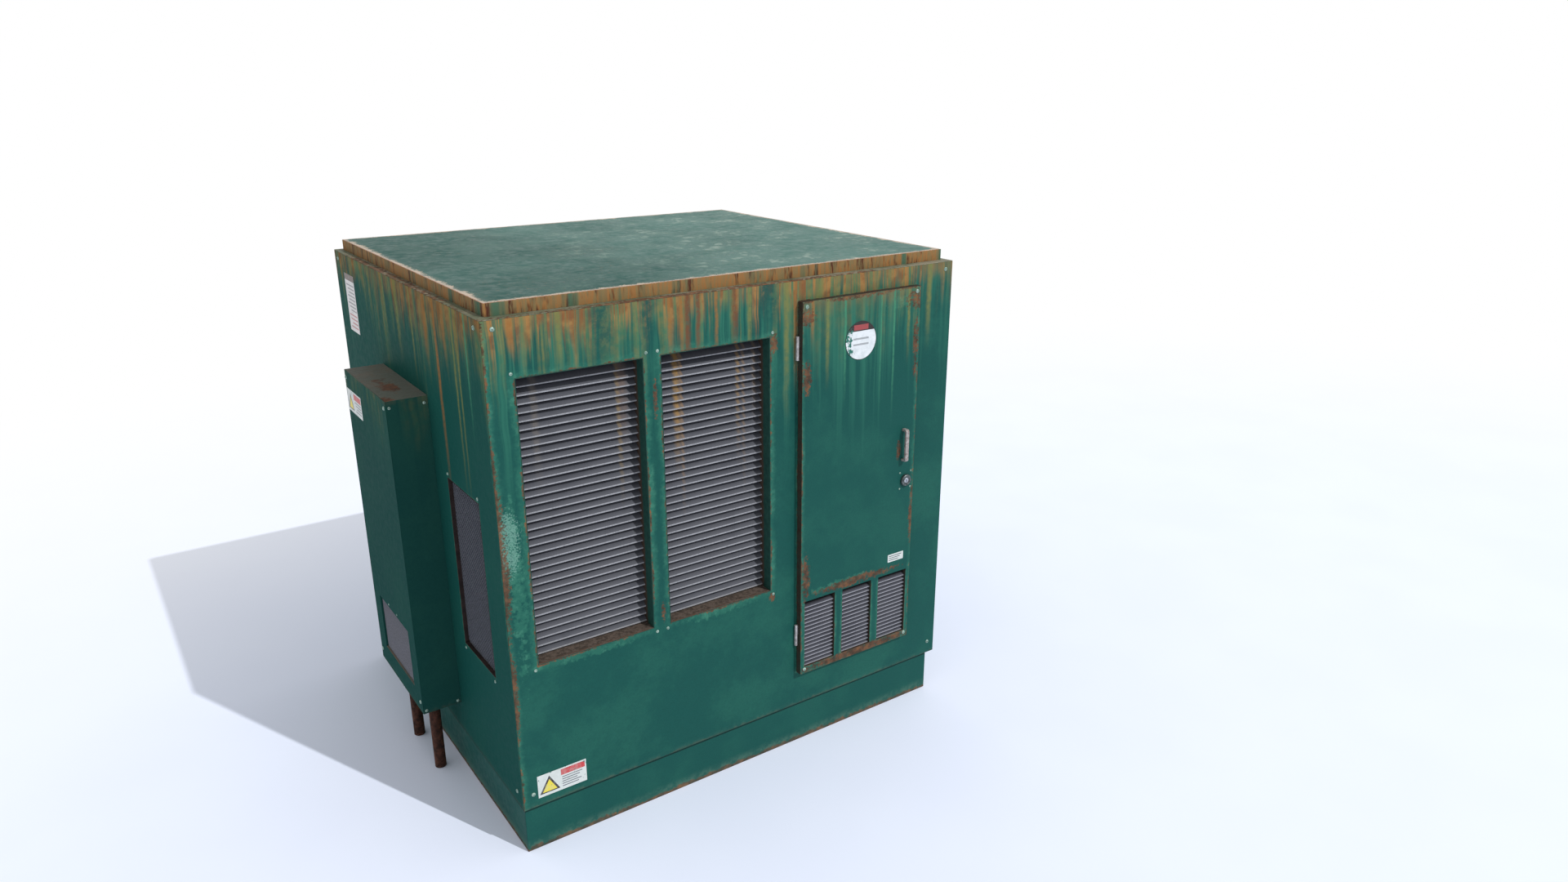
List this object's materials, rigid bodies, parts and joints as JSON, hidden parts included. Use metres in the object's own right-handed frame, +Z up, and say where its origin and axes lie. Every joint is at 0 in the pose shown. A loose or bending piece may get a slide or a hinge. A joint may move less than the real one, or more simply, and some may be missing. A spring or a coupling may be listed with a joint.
{
  "type": "pad-mounted transformer",
  "caption": "Free-standing louvred steel housing for a dry-type transformer, with a hinged, locking front door, a side terminal cabinet, conduit risers and switchgear.",
  "frame": {"origin": "on the ground, at the centre of the rectangle of anchor bolts and of the housing", "axes": "+X to the right along the front, +Y to the back, +Z up; the door is on the -Y face"},
  "size_m": [2.27, 1.917, 2.136],
  "materials": {
    "green_paint": "satin, weathered",
    "roof_paint": "chalky, rusted edges",
    "louvre_grey": "satin",
    "mesh_grey": "matt",
    "galvanised_steel": "galvanised",
    "zinc_screws": "painted over",
    "hinge_steel": "satin",
    "handle_steel": "worn, rusted",
    "lock_chrome": "polished",
    "rusty_conduit": "rusted",
    "cable_black": "matt",
    "terminal_plastic": "matt",
    "gasket_rubber": "matt",
    "sign_plate": "worn",
    "breaker_plastic": "matt",
    "toggle_plastic": "matt",
    "copper": "tarnished",
    "insulator_red": "matt",
    "bushing_glaze": "glazed",
    "core_steel": "laminated, varnished",
    "winding_resin": "cast resin",
    "winding_foil": "foil",
    "pressboard": "pressed board"
  },
  "bodies": {
    "root": {"breaker_body": "breaker_plastic", "busbar_insulators": "insulator_red", "cabinet_backplate": "galvanised_steel", "cabinet_grille": "mesh_grey", "cabinet_label": "sign_plate", "cabinet_screws": "zinc_screws", "conduit_locknuts": "galvanised_steel", "conduits": "rusty_conduit", "core": "core_steel", "core_clamps": "galvanised_steel", "core_rails": "galvanised_steel", "door_gasket": "gasket_rubber", "earth_bar": "copper", "floor_plate": "galvanised_steel", "frame_posts": "galvanised_steel", "front_label": "sign_plate", "front_panel": "green_paint", "gear_plate": "galvanised_steel", "hinge_pins": "hinge_steel", "hinge_sockets": "hinge_steel", "hv_bushings": "bushing_glaze", "hv_windings": "winding_resin", "left_panel": "green_paint", "louvre_blades_left": "louvre_grey", "louvre_blades_right": "louvre_grey", "louvre_frame_left": "green_paint", "louvre_frame_right": "green_paint", "louvre_screws": "zinc_screws", "lv_busbars": "copper", "lv_links": "copper", "lv_windings": "winding_foil", "panel_screws": "zinc_screws", "partition_wall": "galvanised_steel", "plinth_end_beams": "green_paint", "plinth_long_beams": "green_paint", "rear_panel": "green_paint", "right_panel": "green_paint", "roof_cap": "roof_paint", "roof_deck": "green_paint", "side_cabinet_cover": "green_paint", "side_cabinet_shell": "green_paint", "side_label": "sign_plate", "supply_cables": "cable_black", "terminal_blocks": "terminal_plastic", "top_rails": "galvanised_steel", "vent_frame": "green_paint", "vent_mesh": "mesh_grey", "winding_blocks": "pressboard"},
    "door": {"door_skin": "green_paint", "door_stiffeners": "galvanised_steel", "door_blades": "louvre_grey", "door_screws": "zinc_screws", "door_signs": "sign_plate", "pull_handle": "handle_steel", "hinge_barrels": "hinge_steel", "lock_housing": "lock_chrome", "lock_case": "galvanised_steel"},
    "lock_core": {"lock_cylinder": "lock_chrome"},
    "bolt": {"lock_bolt": "galvanised_steel"},
    "toggle": {"breaker_toggle": "toggle_plastic"}
  },
  "joints": [
    {"name": "door_swing", "type": "hinge", "parent": "root", "child": "door", "pos_m": [0.218, -0.934, 1.18], "axis": [0, 0, -1], "range_deg": [0, 110]},
    {"name": "lock_turn", "type": "hinge", "parent": "door", "child": "lock_core", "pos_m": [0.795, -0.957, 1.145], "axis": [0, 1, 0], "range_deg": [0, 90]},
    {"name": "bolt_slide", "type": "slide", "parent": "door", "child": "bolt", "axis": [1, 0, 0], "range_m": [0, 0.0189]},
    {"name": "breaker_switch", "type": "hinge", "parent": "root", "child": "toggle", "pos_m": [0.5345, -0.421, 1.374], "axis": [1, 0, 0], "range_deg": [0, 45]}
  ],
  "couplings": [
    {"joint": "bolt_slide", "follows": "lock_turn", "m_per_rad": 0.012}
  ]
}
